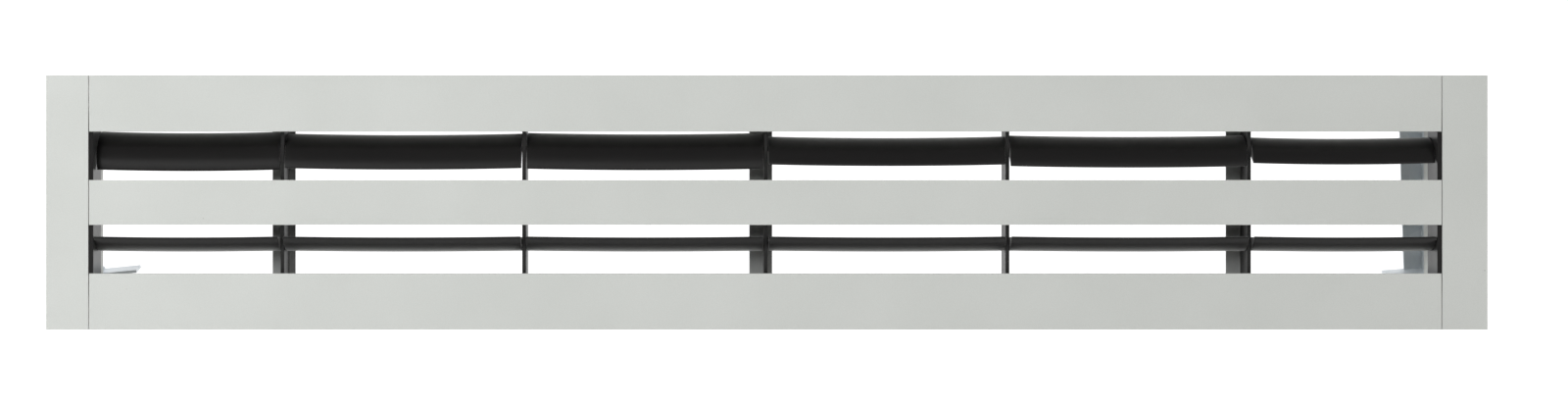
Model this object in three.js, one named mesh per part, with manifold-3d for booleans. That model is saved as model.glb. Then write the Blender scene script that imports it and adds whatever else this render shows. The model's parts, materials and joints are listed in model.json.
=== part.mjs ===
// Two-slot linear air diffuser for a 600 mm ceiling module, with turning blades in both slots.
// Millimetres. X runs along the slots, the face looks along -Y, and Z is up.
// y = 0 is the back of the face flanges, the plane that lies against the ceiling or wall.
// x = 0, z = 0 is the middle of the slots.

import * as THREE from 'three';
import * as BufferGeometryUtils from 'three/addons/utils/BufferGeometryUtils.js';
import Module from 'manifold-3d';

const wasm = await Module();
wasm.setup();

// ---------------------------------------------------------------- driving dimensions

// Face
const faceLength = 595;
const faceHeight = 105;
const faceThickness = 1.6;
const capWidth = { left: 17.4, right: 18.6 };
const seamGap = 0.3;

// Slots
const slotHeight = 20;
const barHeight = 18.5;
const bridgePitch = 100.25;
const middleBridgeX = 0.34;

// Neck: the walls behind the face, set back behind the slot lips so that the blades can turn
const neckDepth = 24;
const neckWall = 1.4;
const lipSetback = 3.2;
const ribHeight = 1;
const ribWidth = 1.2;
const frontRibY = 2.2;
const rearRibY = 18.5;

// Screw ports along the profiles
const portY = 13;
const portOffset = 6.3;
const portRadius = 2.8;
const portHoleRadius = 1.5;

// Blades
const bladeRadius = 11.15;
const bladeThickness = 1;
const bladeHalfAngle = THREE.MathUtils.degToRad(56.5);
const bladeEndGap = 0.3;
const bladeWebThickness = 1.2;
const pivotToArcCentre = 7.2;
const pivotY = 7.8;
const pivotAboveSlotCentre = 3.1;
const axleRadius = 1;
const axleHoleRadius = 1.08;
const hubRadius = 1.75;

// How far each blade's outward side is turned up from facing forward, in degrees, left to right
const topBladeTilts = [32, 40, 37, 55, 49, 60];
const bottomBladeTilts = [272, 272, 272, 272, 272, 272];

// Bridges across the slots, which carry the blade axles
const bridgeFrontY = 3.5;
const wideBridgeWeb = 1.5;
const wideFlangeY = 17.4;
const wideFlangeThickness = 1;
const wideFlangeLeft = 6.5;
const wideFlangeRight = 3.1;
const thinBridgeWeb = 1.6;
const thinBridgeDepth = 13.3;
const footHeight = 1.4;
const footWidth = 8;
const footFrontY = 14.5;
const snugGap = 0.05;

// End bearings: plastic plates that close the slot ends and carry the outermost axles
const bearingThickness = 1.8;
const bearingFrontY = -1.2;
const bearingRearY = 12;
const bearingPegRadius = 1.2;
const bearingPegHoleRadius = 1.35;
const bearingPegYs = [3, 9];

// End cap leg and hanger brackets
const capLegThickness = 1.5;
const capLegHalfHeight = 40;
const bracketSheet = 1.2;
const bracketFrontY = 3;
const bracketBackY = { left: neckDepth, right: 34.2 };
const bracketLegReachTop = 10.6;
const bracketLegReachLow = 8.4;
const bracketLegLow = { left: -26.6, right: -31.3 };
const bracketEarLow = -32.5;
const bracketEarHigh = -27.2;
const bracketFootTop = { left: -30.1, right: -29.5 };
const bracketFootFrontY = 25;
const bracketFootBackY = 34.2;
const bracketFootReach = { left: 16.2, right: 17 };

// Slopes of the feet: up towards the back, and up (or down, if negative) towards the free end
const bracketFootPitch = THREE.MathUtils.degToRad(12);
const bracketFootRise = { left: THREE.MathUtils.degToRad(5.5), right: THREE.MathUtils.degToRad(-4.5) };
const hangerHoleRadius = 3.5;
const hangerHoleInset = 5.3;

// Fasteners
const screwShankRadius = 1.45;
const screwClearanceRadius = 1.7;
const screwHeadRadius = 2.9;
const screwHeadHeight = 1.8;
const screwLength = 14;
const rivetRadius = 1.6;
const rivetHoleRadius = 1.65;
const rivetHeadRadius = 3.1;
const rivetHeadHeight = 0.9;
const rivetY = 19.2;
const rivetZ = 36.2;

// ---------------------------------------------------------------- derived places

const slotPitch = slotHeight + barHeight;
const slotCentre = { top: slotPitch / 2, bottom: -slotPitch / 2 };
const flangeHeight = (faceHeight - slotHeight - slotPitch) / 2;
const neckHalfHeight = slotHeight / 2 + lipSetback;
const capInnerX = (faceLength - capWidth.left - capWidth.right) / 2;
const profileEndX = capInnerX - seamGap;
const bearingOuterX = capInnerX - 0.2;
const bearingInnerX = bearingOuterX - bearingThickness;
const bracketInnerX = capInnerX + capLegThickness + 0.1;
const bracketOuterX = bracketInnerX + bracketSheet;
const portZ = barHeight / 2 + slotHeight + portOffset;
const axleLength = bladeEndGap + bladeWebThickness + 0.2;

// ---------------------------------------------------------------- materials

const coatedAluminium = { color: 0xc9cbc6, roughness: 0.5, metalness: 0.1 };
const blackPlastic = { color: 0x1d1b1a, roughness: 0.35, metalness: 0 };
const galvanisedSteel = { color: 0xa7adb0, roughness: 0.45, metalness: 0.8 };
const zincPlatedSteel = { color: 0xb9bdc0, roughness: 0.35, metalness: 0.9 };

// ---------------------------------------------------------------- solid helpers

// Turns a closed geometry into a manifold solid.
function solid(geometry) {
    geometry.deleteAttribute('normal');
    geometry.deleteAttribute('uv');
    const welded = BufferGeometryUtils.mergeVertices(geometry, 1e-5);
    return new wasm.Manifold(new wasm.Mesh({
        numProp: 3,
        vertProperties: new Float32Array(welded.attributes.position.array),
        triVerts: new Uint32Array(welded.index.array),
    }));
}

// Turns a manifold solid back into a geometry with flat shading.
function geometryOf(body) {
    const result = body.getMesh();
    const geometry = new THREE.BufferGeometry();
    geometry.setAttribute('position', new THREE.BufferAttribute(result.vertProperties, 3));
    geometry.setIndex(new THREE.BufferAttribute(result.triVerts, 1));
    geometry.computeVertexNormals();
    return geometry;
}

function union(bodies) {
    return bodies.reduce((whole, body) => whole.add(body));
}

// A box between two corners.
function box(low, high) {
    const size = high.map((value, axis) => value - low[axis]);
    const middle = high.map((value, axis) => (value + low[axis]) / 2);
    return solid(new THREE.BoxGeometry(...size).translate(...middle));
}

// A round bar along X.
function rod(radius, startX, endX, y, z) {
    const geometry = new THREE.CylinderGeometry(radius, radius, endX - startX, 24);
    geometry.rotateZ(-Math.PI / 2);
    return solid(geometry.translate((startX + endX) / 2, y, z));
}

// A section drawn in the Y-Z plane and run along X.
function extrusion(shape, startX, endX) {
    const geometry = new THREE.ExtrudeGeometry(shape, {
        depth: endX - startX,
        bevelEnabled: false,
        curveSegments: 14,
    });
    const alongX = new THREE.Matrix4().makeBasis(
        new THREE.Vector3(0, 1, 0),
        new THREE.Vector3(0, 0, 1),
        new THREE.Vector3(1, 0, 0),
    );
    return solid(geometry.applyMatrix4(alongX).translate(startX, 0, 0));
}

function outline(points) {
    return new THREE.Shape(points.map(([y, z]) => new THREE.Vector2(y, z)));
}

// The low and high of two x values, so that a left-hand part can be written like a right-hand one.
function span(a, b) {
    return [Math.min(a, b), Math.max(a, b)];
}

// ---------------------------------------------------------------- face profiles

// The inner side of a neck wall, from the back to the slot lip. 'across' is measured from the
// lip's edge into the metal, and the two ribs keep the bridges in place.
function ribbedWall() {
    const ribTop = lipSetback - ribHeight;
    const points = [[neckDepth, lipSetback]];
    for (const ribY of [rearRibY, frontRibY]) {
        points.push([ribY + ribWidth, lipSetback]);
        points.push([ribY + ribWidth, ribTop]);
        points.push([ribY, ribTop]);
        points.push([ribY, lipSetback]);
    }
    points.push([0, lipSetback]);
    return points;
}

// An outer profile: wide flange, slot lip, neck wall, and a screw port whose sides stand straight
// on the wall. side is 1 above, -1 below.
function flangeProfile(side) {
    const slotEdge = barHeight / 2 + slotHeight;
    const wallOuter = lipSetback + neckWall;
    const points = [
        [0, 0],
        [-faceThickness, 0],
        [-faceThickness, flangeHeight],
        [0, flangeHeight],
        [0, wallOuter],
        [neckDepth, wallOuter],
        ...ribbedWall(),
    ];
    const section = outline(points.map(([y, across]) => [y, side * (slotEdge + across)]));
    const port = rod(portRadius, -profileEndX, profileEndX, portY, side * portZ);
    const [portFoot, portMiddle] = span(side * (slotEdge + wallOuter - 0.2), side * portZ);
    const portSides = box(
        [-profileEndX, portY - portRadius, portFoot],
        [profileEndX, portY + portRadius, portMiddle],
    );
    const hole = rod(portHoleRadius, -faceLength, faceLength, portY, side * portZ);
    return extrusion(section, -profileEndX, profileEndX).add(port).add(portSides).subtract(hole);
}

// The bar between the slots: a channel with a cross web that carries its screw port.
function centreBar() {
    const edge = barHeight / 2;
    const innerWall = edge - lipSetback - neckWall;
    const upper = ribbedWall().map(([y, across]) => [y, edge - across]);
    const lower = upper.map(([y, z]) => [y, -z]).reverse();
    const section = outline([
        [-faceThickness, -edge],
        [-faceThickness, edge],
        [0, edge],
        ...upper.slice().reverse(),
        [neckDepth, innerWall],
        [0, innerWall],
        [0, -innerWall],
        [neckDepth, -innerWall],
        ...lower.slice().reverse(),
        [0, -edge],
    ]);
    const web = box(
        [-profileEndX, portY - neckWall / 2, -innerWall - neckWall / 2],
        [profileEndX, portY + neckWall / 2, innerWall + neckWall / 2],
    );
    const port = rod(portRadius, -profileEndX, profileEndX, portY, 0);
    const hole = rod(portHoleRadius, -faceLength, faceLength, portY, 0);
    return extrusion(section, -profileEndX, profileEndX).add(web).add(port).subtract(hole);
}

// ---------------------------------------------------------------- end pieces

const screwZs = [portZ, 0, -portZ];
const rivetZs = [rivetZ, -rivetZ];

// Holes along X through whatever stands at one end. side is 1 at the right, -1 at the left.
function endHoles(side, radius, places) {
    const [low, high] = span(side * (capInnerX - 1), side * (bracketOuterX + 1));
    return union(places.map(([y, z]) => rod(radius, low, high, y, z)));
}

// An L-shaped cap: its flange carries on the face, and its leg closes the end of the neck.
function endCap(name, side) {
    const [flangeLow, flangeHigh] = span(side * capInnerX, side * (capInnerX + capWidth[name]));
    const [legLow, legHigh] = span(side * capInnerX, side * (capInnerX + capLegThickness));
    const flange = box(
        [flangeLow, -faceThickness, -faceHeight / 2],
        [flangeHigh, 0, faceHeight / 2],
    );
    const leg = box(
        [legLow, -faceThickness / 2, -capLegHalfHeight],
        [legHigh, neckDepth, capLegHalfHeight],
    );
    const pegPlaces = bearingPegYs.flatMap((y) => [[y, slotCentre.top], [y, slotCentre.bottom]]);
    return flange
        .add(leg)
        .subtract(endHoles(side, screwClearanceRadius, screwZs.map((z) => [portY, z])))
        .subtract(endHoles(side, rivetHoleRadius, rivetZs.map((z) => [rivetY, z])))
        .subtract(endHoles(side, bearingPegHoleRadius, pegPlaces));
}

// A folded sheet bracket: a plate on the cap's leg, a tapered back leg that always turns towards
// -X, and a sloping foot that turns inward below the slots. On the left the plate stops at the
// back of the neck, and only a narrow ear runs on to carry the foot.
function hangerBracket(name, side) {
    const backY = bracketBackY[name];
    const [plateLow, plateHigh] = span(side * bracketInnerX, side * bracketOuterX);
    const plate = box(
        [plateLow, bracketFrontY, -capLegHalfHeight],
        [plateHigh, backY, capLegHalfHeight],
    );
    const ear = box(
        [plateLow, backY - bracketSheet, bracketEarLow],
        [plateHigh, bracketFootBackY, bracketEarHigh],
    );
    const legOutline = outline([
        [plateHigh, bracketLegLow[name]],
        [plateHigh, capLegHalfHeight],
        [plateHigh - bracketLegReachTop, capLegHalfHeight],
        [plateHigh - bracketLegReachLow, bracketLegLow[name]],
    ]);
    const backLeg = solid(
        new THREE.ExtrudeGeometry(legOutline, { depth: bracketSheet, bevelEnabled: false })
            .rotateX(Math.PI / 2)
            .translate(0, backY, 0),
    );
    const hangerHole = solid(
        new THREE.CylinderGeometry(hangerHoleRadius, hangerHoleRadius, bracketSheet * 4, 32)
            .translate(plateHigh - hangerHoleInset, backY, 0),
    );
    const footDepth = bracketFootBackY - bracketFootFrontY;
    const footEnd = -side * bracketFootReach[name];
    const foot = outline([
        [0, 0],
        [0, footDepth],
        [footEnd, footDepth],
        [footEnd, 0],
    ]);
    const footBottom = bracketFootTop[name] - bracketSheet;
    const footPlate = solid(
        new THREE.ExtrudeGeometry(foot, { depth: bracketSheet, bevelEnabled: false })
            .rotateX(bracketFootPitch)
            .rotateY(side * bracketFootRise[name])
            .translate((plateLow + plateHigh) / 2, bracketFootFrontY, footBottom),
    );
    return union([plate, ear, backLeg, footPlate])
        .subtract(hangerHole)
        .subtract(endHoles(side, screwClearanceRadius, screwZs.map((z) => [portY, z])))
        .subtract(endHoles(side, rivetHoleRadius, rivetZs.map((z) => [rivetY, z])));
}

// A plastic plate at a slot's end: narrow between the lips, taller behind them, with two pegs
// that stand in the cap's leg and a stub axle for the outermost blade.
function endBearing(side, centreZ) {
    const frontHalf = slotHeight / 2 - 0.1;
    const rearHalf = neckHalfHeight - ribHeight - 0.1;
    const section = outline([
        [bearingFrontY, centreZ - frontHalf],
        [0.1, centreZ - frontHalf],
        [0.1, centreZ - rearHalf],
        [bearingRearY, centreZ - rearHalf],
        [bearingRearY, centreZ + rearHalf],
        [0.1, centreZ + rearHalf],
        [0.1, centreZ + frontHalf],
        [bearingFrontY, centreZ + frontHalf],
    ]);
    const [plateLow, plateHigh] = span(side * bearingInnerX, side * bearingOuterX);
    const middleX = side * (bearingInnerX + bearingThickness / 2);
    const pegEnd = side * (capInnerX + capLegThickness - 0.1);
    const axleEnd = side * (bearingInnerX - axleLength);
    const pegs = bearingPegYs.map((y) => rod(bearingPegRadius, ...span(middleX, pegEnd), y, centreZ));
    const axle = rod(axleRadius, ...span(middleX, axleEnd), pivotY, centreZ + pivotAboveSlotCentre);
    return union([extrusion(section, plateLow, plateHigh), axle, ...pegs]);
}

// ---------------------------------------------------------------- bridges

// The axle stubs that stand out of both sides of a bridge.
function bridgeAxles(x, web, centreZ) {
    const reach = web / 2 + axleLength;
    return rod(axleRadius, x - reach, x + reach, pivotY, centreZ + pivotAboveSlotCentre);
}

// A bridge with a deep web and a flange across its back that is longer on the left.
function wideBridge(x, centreZ) {
    const half = neckHalfHeight - snugGap;
    const web = box(
        [x - wideBridgeWeb / 2, bridgeFrontY, centreZ - half],
        [x + wideBridgeWeb / 2, wideFlangeY + wideFlangeThickness / 2, centreZ + half],
    );
    const flange = box(
        [x - wideFlangeLeft, wideFlangeY, centreZ - half],
        [x + wideFlangeRight, wideFlangeY + wideFlangeThickness, centreZ + half],
    );
    return union([web, flange, bridgeAxles(x, wideBridgeWeb, centreZ)]);
}

// A plain plate with a foot at each end, held between the rear rib and the neck wall.
function thinBridge(x, centreZ) {
    const half = neckHalfHeight - snugGap;
    const rearY = bridgeFrontY + thinBridgeDepth;
    const plate = box(
        [x - thinBridgeWeb / 2, bridgeFrontY, centreZ - half],
        [x + thinBridgeWeb / 2, rearY, centreZ + half],
    );
    const feet = [-1, 1].map((end) => {
        const [low, high] = span(centreZ + end * (half - footHeight), centreZ + end * half);
        return box([x - footWidth / 2, footFrontY, low], [x + footWidth / 2, rearRibY - 0.1, high]);
    });
    return union([plate, ...feet, bridgeAxles(x, thinBridgeWeb, centreZ)]);
}

// ---------------------------------------------------------------- blades

// The blade's section about its axle at the origin, with its outward side facing -Y:
// an arc of sheet with rounded edges.
function bladeSection() {
    const start = Math.PI - bladeHalfAngle;
    const end = Math.PI + bladeHalfAngle;
    const inner = bladeRadius - bladeThickness;
    const middle = bladeRadius - bladeThickness / 2;
    const edgeAt = (angle) => [
        pivotToArcCentre + middle * Math.cos(angle),
        middle * Math.sin(angle),
    ];
    const shape = new THREE.Shape();
    shape.absarc(pivotToArcCentre, 0, bladeRadius, start, end, false);
    shape.absarc(...edgeAt(end), bladeThickness / 2, end, end + Math.PI, false);
    shape.absarc(pivotToArcCentre, 0, inner, end, start, true);
    shape.absarc(...edgeAt(start), bladeThickness / 2, start + Math.PI, start + 2 * Math.PI, false);
    return shape;
}

// The web that closes each end of a blade, from its chord to its arc.
function bladeWebSection() {
    const shape = new THREE.Shape();
    const radius = bladeRadius - bladeThickness / 2;
    shape.absarc(pivotToArcCentre, 0, radius, Math.PI - bladeHalfAngle, Math.PI + bladeHalfAngle, false);
    shape.closePath();
    return shape;
}

// A whole blade between two x places, turned up by its tilt about its axle.
function blade(startX, endX, centreZ, tiltDegrees) {
    const webs = [[startX, startX + bladeWebThickness], [endX - bladeWebThickness, endX]];
    const ends = webs.flatMap(([low, high]) => [
        extrusion(bladeWebSection(), low, high),
        rod(hubRadius, low, high, 0, 0),
    ]);
    const body = union([extrusion(bladeSection(), startX, endX), ...ends])
        .subtract(rod(axleHoleRadius, startX - 1, endX + 1, 0, 0));
    const geometry = geometryOf(body);
    geometry.rotateX(-THREE.MathUtils.degToRad(tiltDegrees));
    return geometry.translate(0, pivotY, centreZ + pivotAboveSlotCentre);
}

// ---------------------------------------------------------------- fasteners

// A pan-head screw with a cross recess, run in along X from outside.
function endScrew(side, z) {
    const headX = side * (bracketOuterX + 0.05);
    const topX = headX + side * screwHeadHeight;
    const tipX = headX - side * screwLength;
    const head = rod(screwHeadRadius, ...span(headX, topX), portY, z);
    const shank = rod(screwShankRadius, ...span(tipX, headX + side * 0.5), portY, z);
    const [slotLow, slotHigh] = span(topX - side * 1.1, topX + side);
    const recess = union([
        box([slotLow, portY - 1.6, z - 0.35], [slotHigh, portY + 1.6, z + 0.35]),
        box([slotLow, portY - 0.35, z - 1.6], [slotHigh, portY + 0.35, z + 1.6]),
    ]);
    return union([head, shank]).subtract(recess);
}

// A blind rivet through the bracket and the cap's leg.
function bracketRivet(side, z) {
    const headX = side * (bracketOuterX + 0.05);
    const topX = headX + side * rivetHeadHeight;
    const tipX = side * (capInnerX + 0.1);
    const profile = [
        new THREE.Vector2(0, 0),
        new THREE.Vector2(rivetHeadRadius, 0),
        new THREE.Vector2(rivetHeadRadius * 0.8, rivetHeadHeight * 0.7),
        new THREE.Vector2(rivetRadius * 0.9, rivetHeadHeight),
        new THREE.Vector2(0, rivetHeadHeight),
    ];
    const head = new THREE.LatheGeometry(profile, 24).rotateZ(-side * Math.PI / 2);
    const shank = rod(rivetRadius, ...span(tipX, (headX + topX) / 2), rivetY, z);
    return solid(head.translate(headX, rivetY, z)).add(shank);
}

// ---------------------------------------------------------------- assembly

const diffuser = new THREE.Group();
diffuser.name = 'linear_slot_diffuser';

function place(name, part, material) {
    const geometry = part.isBufferGeometry ? part : geometryOf(part);
    const mesh = new THREE.Mesh(geometry, new THREE.MeshStandardMaterial(material));
    mesh.name = name;
    diffuser.add(mesh);
}

place('top_flange_profile', flangeProfile(1), coatedAluminium);
place('centre_bar_profile', centreBar(), coatedAluminium);
place('bottom_flange_profile', flangeProfile(-1), coatedAluminium);

for (const [name, side] of [['left', -1], ['right', 1]]) {
    place(`end_cap_${name}`, endCap(name, side), coatedAluminium);
    place(`hanger_bracket_${name}`, hangerBracket(name, side), galvanisedSteel);
    place(`end_bearing_top_${name}`, endBearing(side, slotCentre.top), blackPlastic);
    place(`end_bearing_bottom_${name}`, endBearing(side, slotCentre.bottom), blackPlastic);
    screwZs.forEach((z, index) => {
        place(`end_screw_${name}_${index + 1}`, endScrew(side, z), zincPlatedSteel);
    });
    rivetZs.forEach((z, index) => {
        place(`bracket_rivet_${name}_${index + 1}`, bracketRivet(side, z), zincPlatedSteel);
    });
}

// Bridges from left to right: wide, thin, wide, thin, wide.
const bridges = [-2, -1, 0, 1, 2].map((step) => {
    const wide = step % 2 === 0;
    return { x: middleBridgeX + step * bridgePitch, wide, web: wide ? wideBridgeWeb : thinBridgeWeb };
});

// The clear bays between the bridges, one blade in each.
const bayEdges = bridges.flatMap(({ x, web }) => [x - web / 2, x + web / 2]);
const bays = [-bearingInnerX, ...bayEdges, bearingInnerX];

for (const [name, tilts] of [['top', topBladeTilts], ['bottom', bottomBladeTilts]]) {
    const centreZ = slotCentre[name];
    bridges.forEach(({ x, wide }, index) => {
        const part = wide ? wideBridge(x, centreZ) : thinBridge(x, centreZ);
        place(`bridge_${wide ? 'wide' : 'thin'}_${name}_${index + 1}`, part, blackPlastic);
    });
    tilts.forEach((tilt, index) => {
        const startX = bays[2 * index] + bladeEndGap;
        const endX = bays[2 * index + 1] - bladeEndGap;
        place(`deflector_${name}_${index + 1}`, blade(startX, endX, centreZ, tilt), blackPlastic);
    });
}

export default diffuser;
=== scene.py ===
"""Looks for a linear slot diffuser: a satin-grey aluminium face with two slots, and black turning
blades behind them. Everything is in metres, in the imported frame: X along the slots, the face
towards -Y, Z up.

Every CAD solid is replaced by a finished mesh in the same place. The blades are built afresh with
smooth arcs, rounded edges and the slight sag that thin mouldings have. The other parts keep their
CAD shape and get fine edge radii."""

import json
import math

import bmesh
import bpy
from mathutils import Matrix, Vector

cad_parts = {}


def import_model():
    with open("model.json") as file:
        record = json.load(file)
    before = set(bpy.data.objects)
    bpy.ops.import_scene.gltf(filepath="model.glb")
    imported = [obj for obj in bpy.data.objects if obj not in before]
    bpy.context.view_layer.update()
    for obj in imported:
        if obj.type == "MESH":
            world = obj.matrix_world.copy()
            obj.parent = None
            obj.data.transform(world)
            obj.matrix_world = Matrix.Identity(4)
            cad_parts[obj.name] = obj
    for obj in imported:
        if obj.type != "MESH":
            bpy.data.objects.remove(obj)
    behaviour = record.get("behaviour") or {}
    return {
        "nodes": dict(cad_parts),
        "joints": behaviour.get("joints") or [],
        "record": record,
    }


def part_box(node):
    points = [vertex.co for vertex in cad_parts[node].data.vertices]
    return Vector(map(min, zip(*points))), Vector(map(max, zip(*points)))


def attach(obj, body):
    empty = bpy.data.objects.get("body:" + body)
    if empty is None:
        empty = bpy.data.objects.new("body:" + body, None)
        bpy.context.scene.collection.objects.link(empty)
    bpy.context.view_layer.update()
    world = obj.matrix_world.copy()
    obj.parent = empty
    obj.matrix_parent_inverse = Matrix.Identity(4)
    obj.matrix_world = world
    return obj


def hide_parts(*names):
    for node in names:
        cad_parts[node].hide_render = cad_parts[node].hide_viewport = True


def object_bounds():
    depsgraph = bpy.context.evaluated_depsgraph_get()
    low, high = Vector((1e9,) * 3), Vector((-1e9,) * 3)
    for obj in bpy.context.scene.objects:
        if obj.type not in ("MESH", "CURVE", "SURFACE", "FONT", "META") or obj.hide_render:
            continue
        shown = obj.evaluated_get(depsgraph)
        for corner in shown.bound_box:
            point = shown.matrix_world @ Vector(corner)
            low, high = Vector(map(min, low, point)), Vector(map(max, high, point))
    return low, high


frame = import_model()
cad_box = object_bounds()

MM = 0.001

# Camera: its distance in front of the face, how far left of the middle it stands, the width of
# face that it takes in, the middle of that width, and the width of its sensor in millimetres
CAMERA_DISTANCE = 1.0
CAMERA_LEFT = 0.0307
VIEW_WIDTH = 0.6472
VIEW_CENTRE_X = 0.0077
SENSOR_WIDTH = 36.0

# Floor: how far it lies below the part, and how far it reaches
FLOOR_DROP = 0.11
FLOOR_HALF_WIDTH = 1.6
FLOOR_FRONT_Y = -1.4
FLOOR_BACK_Y = 0.75

# Soft lights, with their power in watts
SOFTBOXES = {
    "key": {
        "location": (-1.2, -1.2, 0.5),
        "target": (-0.2, 0, 0),
        "width": 0.8,
        "height": 0.6,
        "power": 20.5,
        "colour": (0.965, 0.985, 1.0),
    },
    "fill": {
        "location": (1.4, -1.6, 0.5),
        "target": (0, 0, 0),
        "width": 1.0,
        "height": 1.0,
        "power": 9,
        "colour": (1.0, 1.0, 0.99),
    },
}

# Surroundings: how bright they are in front of the face and behind it, and the Y parts of the
# directions between which the one turns into the other
FRONT_BRIGHTNESS = 0.25
REAR_BRIGHTNESS = 1.25
FRONT_DIRECTION_Y = -0.25
REAR_DIRECTION_Y = 0.35

# Blade section, about the axle
ARC_RADIUS = 11.15 * MM
SHEET = 1.0 * MM
HALF_ANGLE = math.radians(56.5)
AXLE_TO_ARC_CENTRE = 7.2 * MM
AXLE_HOLE_RADIUS = 1.08 * MM
HUB_RADIUS = 1.75 * MM

# Blade along its length: the end webs stand a little in from the sheet's ends
WEB_THICKNESS = 1.2 * MM
WEB_INSET = 0.1 * MM
END_ROUNDING = 0.25 * MM
SAG = {"top": 0.6 * MM, "bottom": 0.4 * MM}

# Tilt in degrees at a joint's lower stop: the blade's outward side faces forward in the top slot,
# and backward in the bottom one
TILT_AT_LOWER_STOP = {"top": 0, "bottom": 180}

# Fineness of the blades: steps per arc, and the quarter-turn shares where an end has its rings
ARC_STEPS = 40
EDGE_STEPS = 6
SPAN_STEPS = 28
HUB_STEPS = 12
HOLE_STEPS = 24
END_RINGS = (0.0, 0.5)

# Places along Y between which the grey dust on the bridges sets in
DUSTY_FROM = 16.2 * MM
DUSTY_FULL = 17.2 * MM

# Edge radii of the parts other than the blades
EDGE_RADIUS = {
    "coated_aluminium": 0.28 * MM,
    "black_plastic": 0.12 * MM,
    "galvanised_steel": 0.15 * MM,
    "zinc_plated_steel": 0.18 * MM,
}
EDGE_SEGMENTS = 2

# Corners closer than this are one corner, and faces that meet flatter than this are one face
WELD_DISTANCE = 0.001 * MM
FLAT_ANGLE = math.radians(0.6)

# Edges sharper than these are rounded, and shaded as edges
ROUNDED_ANGLE = math.radians(40)
SHARP_ANGLE = math.radians(35)


# ------------------------------------------------------------------ materials

class Shader:
    """A material with one Principled shader and short calls for the nodes that feed it."""

    def __init__(self, name, metallic, ior=1.45):
        self.material = bpy.data.materials.new(name)
        self.material.use_nodes = True
        self.nodes = self.material.node_tree.nodes
        self.links = self.material.node_tree.links
        self.bsdf = self.nodes["Principled BSDF"]
        self.set("Metallic", metallic)
        self.set("IOR", ior)
        places = self.nodes.new("ShaderNodeTexCoord")
        self.coordinates = places.outputs["Object"]
        self.normals = places.outputs["Normal"]

    def set(self, socket, value):
        """Sets a number that is the same all over the surface."""
        self.bsdf.inputs[socket].default_value = value

    def feed(self, socket, value):
        """Links a value that varies over the surface."""
        self.links.new(value, self.bsdf.inputs[socket])

    def stretched(self, scale):
        """Object coordinates, scaled per axis in features per metre."""
        mapping = self.nodes.new("ShaderNodeMapping")
        mapping.inputs["Scale"].default_value = scale
        self.links.new(self.coordinates, mapping.inputs["Vector"])
        return mapping.outputs["Vector"]

    def depth(self, start, end):
        """A number that goes from 0 to 1 between two places along Y."""
        split = self.nodes.new("ShaderNodeSeparateXYZ")
        self.links.new(self.coordinates, split.inputs["Vector"])
        return self.between(split.outputs["Y"], 0.0, 1.0, start=start, end=end)

    def facing_up(self, sharpness):
        """A number that is 1 where the surface at rest faces straight up, and falls off faster
        the higher the sharpness."""
        split = self.nodes.new("ShaderNodeSeparateXYZ")
        self.links.new(self.normals, split.inputs["Vector"])
        upward = self.between(split.outputs["Z"], 0.0, 1.0, start=0.0, end=1.0)
        power = self.nodes.new("ShaderNodeMath")
        power.operation = "POWER"
        self.links.new(upward, power.inputs[0])
        power.inputs[1].default_value = sharpness
        return power.outputs["Value"]

    def turned_away(self):
        """A number that is 0 where the surface faces the eye and 1 where it turns edge-on."""
        node = self.nodes.new("ShaderNodeLayerWeight")
        node.inputs["Blend"].default_value = 0.5
        return node.outputs["Facing"]

    def noise(self, scale, detail=3.0, roughness=0.55, vector=None):
        """Noise with that many features per metre."""
        node = self.nodes.new("ShaderNodeTexNoise")
        node.inputs["Scale"].default_value = scale
        node.inputs["Detail"].default_value = detail
        node.inputs["Roughness"].default_value = roughness
        self.links.new(vector or self.coordinates, node.inputs["Vector"])
        return node.outputs["Fac"]

    def cells(self, scale, output="Color"):
        """Voronoi cells with that many cells per metre."""
        node = self.nodes.new("ShaderNodeTexVoronoi")
        node.inputs["Scale"].default_value = scale
        self.links.new(self.coordinates, node.inputs["Vector"])
        return node.outputs[output]

    def ramp(self, factor, stops):
        """Colours at two places between 0 and 1."""
        node = self.nodes.new("ShaderNodeValToRGB")
        for stop, (place, colour) in zip(node.color_ramp.elements, stops):
            stop.position = place
            stop.color = (*colour, 1)
        self.links.new(factor, node.inputs["Fac"])
        return node.outputs["Color"]

    def between(self, factor, low, high, start=0.3, end=0.7):
        """A number that goes from low to high as the factor goes from start to end."""
        node = self.nodes.new("ShaderNodeMapRange")
        node.inputs["From Min"].default_value = start
        node.inputs["From Max"].default_value = end
        node.inputs["To Min"].default_value = low
        node.inputs["To Max"].default_value = high
        self.links.new(factor, node.inputs["Value"])
        return node.outputs["Result"]

    def blend(self, factor, first, second, kind="MIX"):
        """Two colours mixed by a factor."""
        node = self.nodes.new("ShaderNodeMix")
        node.data_type = "RGBA"
        node.blend_type = kind
        factor_in, first_in, second_in = node.inputs[0], node.inputs[6], node.inputs[7]
        if isinstance(factor, float):
            factor_in.default_value = factor
        else:
            self.links.new(factor, factor_in)
        for socket, value in ((first_in, first), (second_in, second)):
            if isinstance(value, tuple):
                socket.default_value = (*value, 1)
            else:
                self.links.new(value, socket)
        return node.outputs[2]

    def bump(self, height, depth, below=None):
        """Relief of that depth in metres, on top of an earlier one if given."""
        node = self.nodes.new("ShaderNodeBump")
        node.inputs["Strength"].default_value = 1.0
        node.inputs["Distance"].default_value = depth
        self.links.new(height, node.inputs["Height"])
        if below is not None:
            self.links.new(below, node.inputs["Normal"])
        return node.outputs["Normal"]

    def use(self, colour, roughness, normal):
        self.feed("Base Color", colour)
        self.feed("Roughness", roughness)
        self.feed("Normal", normal)
        return self.material


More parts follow.
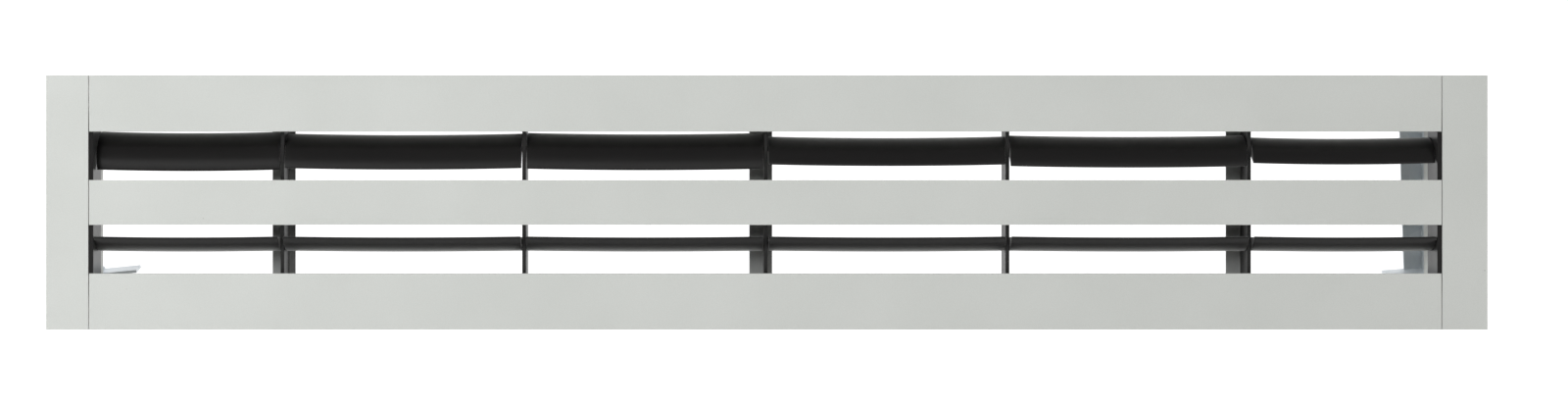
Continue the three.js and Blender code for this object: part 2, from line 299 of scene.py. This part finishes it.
def coated_aluminium():
    """Satin powder coating: a pale warm grey with faint mottling and a fine orange-peel surface."""
    s = Shader("coated_aluminium_finish", metallic=0.0, ior=1.5)
    broad = s.noise(18, detail=2)
    fine = s.noise(2600, detail=4, roughness=0.7)
    base = s.ramp(broad, [(0.3, (0.565, 0.575, 0.548)), (0.7, (0.595, 0.604, 0.578))])
    grain = s.ramp(fine, [(0.35, (0.93, 0.93, 0.93)), (0.65, (1.0, 1.0, 1.0))])
    colour = s.blend(1.0, base, grain, kind="MULTIPLY")
    specks = s.between(s.cells(55, "Distance"), 1.0, 0.0, start=0.010, end=0.016)
    colour = s.blend(specks, colour, (0.33, 0.33, 0.31))
    roughness = s.between(s.noise(240), 0.42, 0.52)
    peel = s.bump(s.noise(900, detail=2), 0.012 * MM)
    normal = s.bump(fine, 0.004 * MM, below=peel)
    return s.use(colour, roughness, normal)


def black_plastic(name, sheen, coat=None):
    """Moulded black plastic with faint flow marks along the part and a trace of dust, and a painted
    highlight: it is lighter where the part at rest faces up. Where the surface turns away from the
    eye, sheen is how strongly the dust lights up, and coat, if given, how strongly a polished skin
    shines."""
    s = Shader(name, metallic=0.0, ior=1.47)
    flow = s.noise(1, detail=3, vector=s.stretched((12, 300, 300)))
    dust = s.noise(1800, detail=4, roughness=0.7)
    base = s.ramp(flow, [(0.3, (0.0046, 0.0041, 0.0041)), (0.7, (0.0058, 0.0052, 0.0051))])
    film = s.between(dust, 0.0, 0.010, start=0.55, end=0.80)
    colour = s.blend(film, base, (0.16, 0.15, 0.14))
    # Painted highlight: the colour is lighter wherever the surface at rest faces up
    colour = s.blend(s.facing_up(9.0), colour, (0.040, 0.039, 0.037))
    roughness = s.between(s.noise(90, detail=3), 0.33, 0.38)
    ripple = s.bump(flow, 0.0015 * MM)
    normal = s.bump(dust, 0.0012 * MM, below=ripple)
    edge_on = s.turned_away()
    s.set("Sheen Roughness", 0.35)
    s.feed("Sheen Weight", s.between(edge_on, 0.0, sheen, start=0.1, end=0.7))
    if coat is not None:
        s.set("Coat IOR", 2.0)
        s.set("Coat Roughness", 0.32)
        s.feed("Coat Weight", s.between(edge_on, 0.0, coat, start=0.15, end=0.75))
    return s.use(colour, roughness, normal)


def bridge_plastic():
    """The same black plastic on the bridges, with a grey film on the flanges at their backs,
    where dust has settled."""
    s = Shader("bridge_plastic_finish", metallic=0.0, ior=1.47)
    cloud = s.noise(160, detail=4)
    dust = s.noise(1500, detail=4, roughness=0.7)
    base = s.ramp(cloud, [(0.3, (0.0095, 0.0092, 0.0090)), (0.7, (0.0125, 0.0120, 0.0115))])
    grey = s.ramp(cloud, [(0.3, (0.265, 0.268, 0.262)), (0.7, (0.315, 0.317, 0.310))])
    settled = s.depth(DUSTY_FROM, DUSTY_FULL)
    colour = s.blend(settled, base, grey)
    roughness = s.between(dust, 0.38, 0.52)
    normal = s.bump(dust, 0.003 * MM)
    return s.use(colour, roughness, normal)


def galvanised_steel():
    """Hot-dip zinc: dull bluish metal broken into spangles a few millimetres wide."""
    s = Shader("galvanised_steel_finish", metallic=0.4, ior=1.5)
    spangle = s.cells(170)
    tone = s.ramp(spangle, [(0.1, (0.64, 0.69, 0.73)), (0.9, (0.78, 0.82, 0.85))])
    frost = s.noise(1900, detail=5, roughness=0.7)
    stain = s.between(s.noise(60, detail=4), 0.0, 0.4, start=0.5, end=0.8)
    colour = s.blend(stain, tone, (0.70, 0.73, 0.75))
    roughness = s.between(frost, 0.36, 0.58)
    normal = s.bump(frost, 0.008 * MM)
    return s.use(colour, roughness, normal)


def zinc_plated_steel():
    """Bright zinc plating with fine turning marks."""
    s = Shader("zinc_plated_steel_finish", metallic=1.0, ior=1.5)
    cloud = s.noise(500, detail=4)
    marks = s.noise(1, detail=3, vector=s.stretched((600, 5200, 5200)))
    colour = s.ramp(cloud, [(0.3, (0.56, 0.58, 0.60)), (0.7, (0.66, 0.68, 0.69))])
    roughness = s.between(marks, 0.22, 0.38)
    normal = s.bump(marks, 0.006 * MM)
    return s.use(colour, roughness, normal)


MATERIALS = {
    "coated_aluminium": coated_aluminium(),
    "black_plastic": black_plastic("black_plastic_finish", sheen=0.12),
    "galvanised_steel": galvanised_steel(),
    "zinc_plated_steel": zinc_plated_steel(),
}

# Finishes that differ from their slot's, by the first word of the pieces' names
SPECIAL_FINISH = {
    "bridge": bridge_plastic(),
    "deflector": black_plastic("blade_plastic_finish", sheen=0.7, coat=0.55),
}
SLOT_OF = {row["node"]: row["material_slot"] for row in frame["record"]["subparts"]}


# ------------------------------------------------------------------ mesh helpers

def new_object(name, mesh):
    piece = bpy.data.objects.new(name, mesh)
    bpy.context.scene.collection.objects.link(piece)
    return piece


def finish_piece(piece, node, body):
    """Gives a piece its material and ties it to the CAD node that it stands for."""
    slot = SLOT_OF[node]
    kind = node.split("_")[0]
    piece.data.materials.clear()
    piece.data.materials.append(SPECIAL_FINISH.get(kind, MATERIALS[slot]))
    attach(piece, body)
    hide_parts(node)


def shade_smooth(mesh):
    """Smooth shading, broken at the sharp edges."""
    for polygon in mesh.polygons:
        polygon.use_smooth = True
    mesh.set_sharp_from_angle(angle=SHARP_ANGLE)


def finished_copy(node):
    """The CAD shape with its flat faces made whole and its edges rounded."""
    bm = bmesh.new()
    bm.from_mesh(frame["nodes"][node].data)
    bmesh.ops.remove_doubles(bm, verts=bm.verts, dist=WELD_DISTANCE)
    bmesh.ops.dissolve_limit(bm, angle_limit=FLAT_ANGLE, verts=bm.verts, edges=bm.edges)
    mesh = bpy.data.meshes.new(f"{node}.finished")
    bm.to_mesh(mesh)
    bm.free()
    piece = new_object(f"{node}.finished", mesh)
    bevel = piece.modifiers.new("edge_radius", "BEVEL")
    bevel.width = EDGE_RADIUS[SLOT_OF[node]]
    bevel.segments = EDGE_SEGMENTS
    bevel.limit_method = "ANGLE"
    bevel.angle_limit = ROUNDED_ANGLE
    bevel.harden_normals = True
    shade_smooth(mesh)
    return piece


# ------------------------------------------------------------------ blades

def on_circle(radius, angle):
    return radius * math.cos(angle), radius * math.sin(angle)


def blade_ring(inset):
    """The closed section of a blade, as (outward, along the arc) places about its axle.
    inset draws the whole outline in, for rounding the blade's ends."""
    outer = ARC_RADIUS - inset
    inner = ARC_RADIUS - SHEET + inset
    middle = ARC_RADIUS - SHEET / 2
    tip = SHEET / 2 - inset
    points = []

    def arc(centre, radius, start, end, steps):
        for step in range(steps):
            out, along = on_circle(radius, start + (end - start) * step / steps)
            points.append((centre[0] + out, centre[1] + along))

    arc_centre = (-AXLE_TO_ARC_CENTRE, 0.0)
    for sign in (1, -1):
        radius = outer if sign > 0 else inner
        arc(arc_centre, radius, -sign * HALF_ANGLE, sign * HALF_ANGLE, ARC_STEPS)
        out, along = on_circle(middle, sign * HALF_ANGLE)
        start = HALF_ANGLE if sign > 0 else math.pi - HALF_ANGLE
        arc((arc_centre[0] + out, along), tip, start, start + math.pi, EDGE_STEPS)
    return points


def web_loops():
    """The outline of a blade's end web with its hub, and the axle hole in it."""
    inner = ARC_RADIUS - SHEET
    chord = inner * math.cos(HALF_ANGLE) - AXLE_TO_ARC_CENTRE
    outline = []
    for step in range(ARC_STEPS + 1):
        out, along = on_circle(inner, HALF_ANGLE * (2 * step / ARC_STEPS - 1))
        outline.append((out - AXLE_TO_ARC_CENTRE, along))
    reach = math.acos(-chord / HUB_RADIUS)
    for step in range(HUB_STEPS + 1):
        outline.append(on_circle(HUB_RADIUS, math.pi - reach + 2 * reach * step / HUB_STEPS))
    hole = []
    for step in range(HOLE_STEPS):
        hole.append(on_circle(AXLE_HOLE_RADIUS, 2 * math.pi * step / HOLE_STEPS))
    return outline, hole


def add_shell(bm, place, start_x, end_x):
    """The curved sheet, with rounded ends and enough rings along it to sag."""
    stations = []
    for share in END_RINGS:
        turn = share * math.pi / 2
        stations.append((END_ROUNDING * (1 - math.cos(turn)), END_ROUNDING * (1 - math.sin(turn))))
    body = end_x - start_x - 2 * END_ROUNDING
    rings = [(start_x + along, inset) for along, inset in stations]
    for step in range(SPAN_STEPS + 1):
        rings.append((start_x + END_ROUNDING + body * step / SPAN_STEPS, 0.0))
    rings += [(end_x - along, inset) for along, inset in reversed(stations)]
    loops = [[bm.verts.new(place(x, *p)) for p in blade_ring(inset)] for x, inset in rings]
    count = len(loops[0])
    for first, second in zip(loops, loops[1:]):
        for i in range(count):
            j = (i + 1) % count
            bm.faces.new((first[i], first[j], second[j], second[i]))
    bm.faces.new(loops[0])
    bm.faces.new(list(reversed(loops[-1])))


def add_web(bm, place, start_x, end_x):
    """One end web: its outline with the axle hole, given thickness."""
    edges = []
    for loop in web_loops():
        verts = [bm.verts.new(place(start_x, *p)) for p in loop]
        for first, second in zip(verts, verts[1:] + verts[:1]):
            edges.append(bm.edges.new((first, second)))
    filled = bmesh.ops.triangle_fill(bm, use_beauty=True, use_dissolve=False, edges=edges)
    faces = [item for item in filled["geom"] if isinstance(item, bmesh.types.BMFace)]
    grown = bmesh.ops.extrude_face_region(bm, geom=faces, use_keep_orig=True)
    moved = [item for item in grown["geom"] if isinstance(item, bmesh.types.BMVert)]
    bmesh.ops.translate(bm, verts=moved, vec=(end_x - start_x, 0, 0))


def blade(node, joint):
    """A whole blade in its resting tilt, which follows from its joint's lower stop."""
    row = "top" if "_top_" in node else "bottom"
    tilt = math.radians(TILT_AT_LOWER_STOP[row] - joint["range_deg"][0])
    axle = Vector(joint["pos_m"])
    low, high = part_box(node)
    outward = Vector((0, -math.cos(tilt), math.sin(tilt)))
    along_arc = Vector((0, math.sin(tilt), math.cos(tilt)))
    start_x, end_x = low[0], high[0]

    def place(x, out, across):
        share = (x - start_x) / (end_x - start_x)
        sag = SAG[row] * 4 * share * (1 - share)
        point = Vector((x, axle.y, axle.z)) + outward * out + along_arc * across
        return point - Vector((0, 0, sag))

    bm = bmesh.new()
    add_shell(bm, place, start_x, end_x)
    add_web(bm, place, start_x + WEB_INSET, start_x + WEB_THICKNESS)
    add_web(bm, place, end_x - WEB_THICKNESS, end_x - WEB_INSET)
    bmesh.ops.recalc_face_normals(bm, faces=bm.faces)
    mesh = bpy.data.meshes.new(f"{node}.finished")
    bm.to_mesh(mesh)
    bm.free()
    shade_smooth(mesh)
    return new_object(f"{node}.finished", mesh)


joint_of = {joint["child"]: joint for joint in frame["joints"]}
for body, members in frame["record"]["behaviour"]["bodies"].items():
    for node in members:
        piece = blade(node, joint_of[body]) if body in joint_of else finished_copy(node)
        finish_piece(piece, node, body)


# ------------------------------------------------------------------ studio

def floor_material():
    s = Shader("pale_floor_finish", metallic=0.0)
    tone = s.ramp(s.noise(6), [(0.3, (0.80, 0.80, 0.79)), (0.7, (0.84, 0.84, 0.83))])
    return s.use(tone, s.between(s.noise(40), 0.6, 0.75), s.bump(s.noise(300), 0.05 * MM))


def floor():
    """A pale floor under the part, short enough to stay below the camera's view."""
    level = cad_box[0].z - FLOOR_DROP
    corners = [
        (-FLOOR_HALF_WIDTH, FLOOR_FRONT_Y, level),
        (FLOOR_HALF_WIDTH, FLOOR_FRONT_Y, level),
        (FLOOR_HALF_WIDTH, FLOOR_BACK_Y, level),
        (-FLOOR_HALF_WIDTH, FLOOR_BACK_Y, level),
    ]
    mesh = bpy.data.meshes.new("floor")
    mesh.from_pydata(corners, [], [(0, 1, 2, 3)])
    mesh.materials.append(floor_material())
    new_object("floor", mesh)


def softbox(name, location, target, width, height, power, colour):
    """A rectangular light that aims at its target and doesn't show in reflections."""
    light = bpy.data.lights.new(name, "AREA")
    light.color = colour
    light.shape = "RECTANGLE"
    light.size = width
    light.size_y = height
    light.energy = power
    lamp = new_object(name, light)
    lamp.visible_glossy = False
    lamp.location = location
    aim = Vector(target) - Vector(location)
    lamp.rotation_euler = aim.to_track_quat("-Z", "Y").to_euler()


def world():
    """White surroundings that show as pure white, are darkest in front of the face, where a room
    would be, and are brightest behind it."""
    surroundings = bpy.data.worlds.new("studio")
    surroundings.use_nodes = True
    nodes, links = surroundings.node_tree.nodes, surroundings.node_tree.links
    background = nodes["Background"]
    direction = nodes.new("ShaderNodeTexCoord").outputs["Generated"]
    split = nodes.new("ShaderNodeSeparateXYZ")
    links.new(direction, split.inputs["Vector"])
    ramp = nodes.new("ShaderNodeMapRange")
    ramp.inputs["From Min"].default_value = FRONT_DIRECTION_Y
    ramp.inputs["From Max"].default_value = REAR_DIRECTION_Y
    ramp.inputs["To Min"].default_value = FRONT_BRIGHTNESS
    ramp.inputs["To Max"].default_value = REAR_BRIGHTNESS
    links.new(split.outputs["Y"], ramp.inputs["Value"])
    path = nodes.new("ShaderNodeLightPath")
    seen = nodes.new("ShaderNodeMath")
    seen.operation = "MAXIMUM"
    links.new(ramp.outputs["Result"], seen.inputs[0])
    links.new(path.outputs["Is Camera Ray"], seen.inputs[1])
    background.inputs["Color"].default_value = (1, 1, 1, 1)
    links.new(seen.outputs["Value"], background.inputs["Strength"])
    bpy.context.scene.world = surroundings


def camera():
    """Looks straight at the face, with just enough sideways shift to frame it."""
    lens = bpy.data.cameras.new("camera")
    lens.sensor_width = SENSOR_WIDTH
    lens.lens = SENSOR_WIDTH * CAMERA_DISTANCE / VIEW_WIDTH
    lens.shift_x = (VIEW_CENTRE_X + CAMERA_LEFT) / VIEW_WIDTH
    eye = new_object("camera", lens)
    eye.location = (-CAMERA_LEFT, cad_box[0].y - CAMERA_DISTANCE, 0)
    eye.rotation_euler = (math.pi / 2, 0, 0)
    bpy.context.scene.camera = eye


floor()
for name, settings in SOFTBOXES.items():
    softbox(name, **settings)
world()
camera()
bpy.context.scene.view_settings.view_transform = "Standard"
